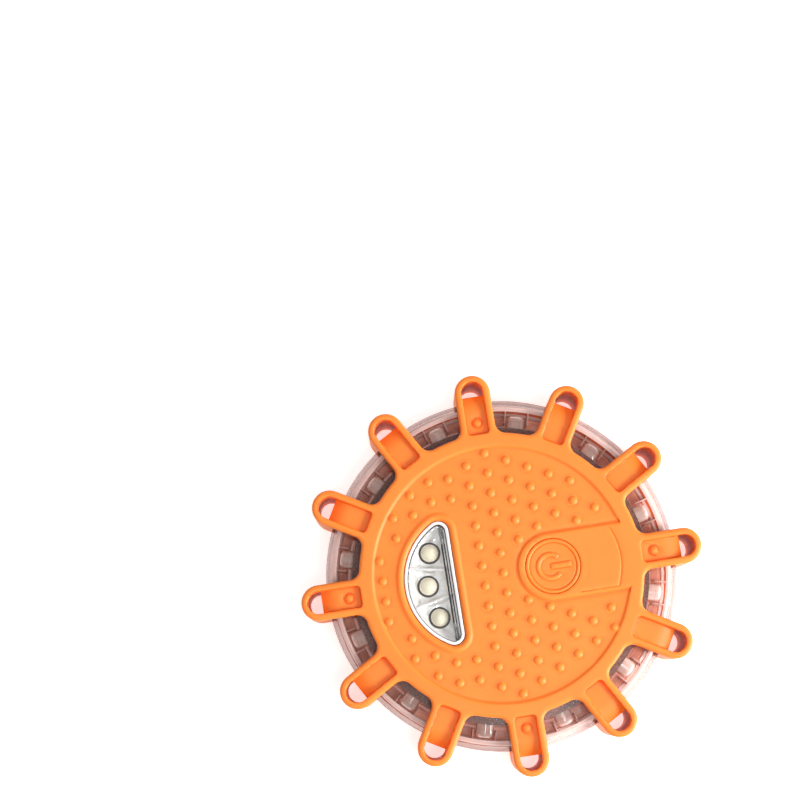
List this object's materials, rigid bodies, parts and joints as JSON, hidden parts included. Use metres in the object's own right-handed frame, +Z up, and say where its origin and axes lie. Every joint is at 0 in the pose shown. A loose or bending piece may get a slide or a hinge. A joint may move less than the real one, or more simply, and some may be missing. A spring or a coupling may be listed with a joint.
{
  "type": "led safety flare",
  "caption": "Round battery-powered roadside warning light with a fingered rubber bumper, clear case, ring of red LEDs, white torch window, power button, magnet and hook.",
  "frame": {"origin": "centre of the face the flare rests on, on the round body's axis", "axes": "+Z up out of the face with the button, +X from the torch window towards the power button, +Y to the left of +X seen from above"},
  "size_m": [0.11, 0.11, 0.024],
  "materials": {
    "orange_rubber": "matte, satin at the edges",
    "clear_plastic": "clear, polished",
    "chrome_plastic": "vacuum-metallised",
    "seal_rubber": "matte",
    "circuit_board": "solder mask",
    "red_led": "clear tinted resin",
    "white_led": "clear resin over yellow phosphor",
    "black_plastic": "moulded",
    "steel": "nickel-plated",
    "cell_jacket": "printed sleeve",
    "red_wire": "insulated",
    "black_wire": "insulated"
  },
  "bodies": {
    "housing": {"top_bumper": "orange_rubber", "bottom_bumper": "orange_rubber", "top_case": "clear_plastic", "base_case": "clear_plastic", "case_seal": "seal_rubber", "main_pcb": "circuit_board", "side_led_01": "red_led", "side_led_02": "red_led", "side_led_03": "red_led", "side_led_04": "red_led", "side_led_05": "red_led", "side_led_06": "red_led", "side_led_07": "red_led", "side_led_08": "red_led", "side_led_09": "red_led", "side_led_10": "red_led", "side_led_11": "red_led", "side_led_12": "red_led", "torch_lens": "clear_plastic", "torch_reflector": "chrome_plastic", "torch_led_1": "white_led", "torch_led_2": "white_led", "torch_led_3": "white_led", "switch_body": "black_plastic", "driver_chip": "black_plastic", "capacitor": "steel", "cell_1": "cell_jacket", "cell_2": "cell_jacket", "cell_3": "cell_jacket", "cell_spring_1": "steel", "cell_spring_2": "steel", "cell_spring_3": "steel", "contact_positive": "steel", "contact_bridge_1": "steel", "contact_bridge_2": "steel", "contact_negative": "steel", "wire_positive": "red_wire", "wire_negative": "black_wire", "case_screw_1": "steel", "case_screw_2": "steel", "case_screw_3": "steel", "case_screw_4": "steel"},
    "button": {"power_button": "orange_rubber"},
    "plunger": {"switch_plunger": "black_plastic"},
    "cover": {"battery_cover": "orange_rubber", "cover_gasket": "seal_rubber", "magnet": "steel", "cover_screw_1": "steel", "cover_screw_2": "steel", "cover_screw_3": "steel", "cover_screw_4": "steel"},
    "hook": {"hanging_hook": "black_plastic"}
  },
  "joints": [
    {"name": "button_press", "type": "slide", "parent": "housing", "child": "button", "axis": [0, 0, -1], "range_m": [0, 0.0006], "stiffness_N_per_m": 1500, "springref_m": -0.0005},
    {"name": "switch_press", "type": "slide", "parent": "housing", "child": "plunger", "axis": [0, 0, -1], "range_m": [0, 0.0003]},
    {"name": "cover_release", "type": "slide", "parent": "housing", "child": "cover", "axis": [0, 0, -1], "range_m": [0, 0.02]},
    {"name": "hook_swing", "type": "hinge", "parent": "cover", "child": "hook", "pos_m": [0, -0.011, 0.0016], "axis": [-1, 0, 0], "range_deg": [0, 150]}
  ],
  "couplings": [
    {"joint": "switch_press", "follows": "button_press", "ratio": 0.5}
  ]
}
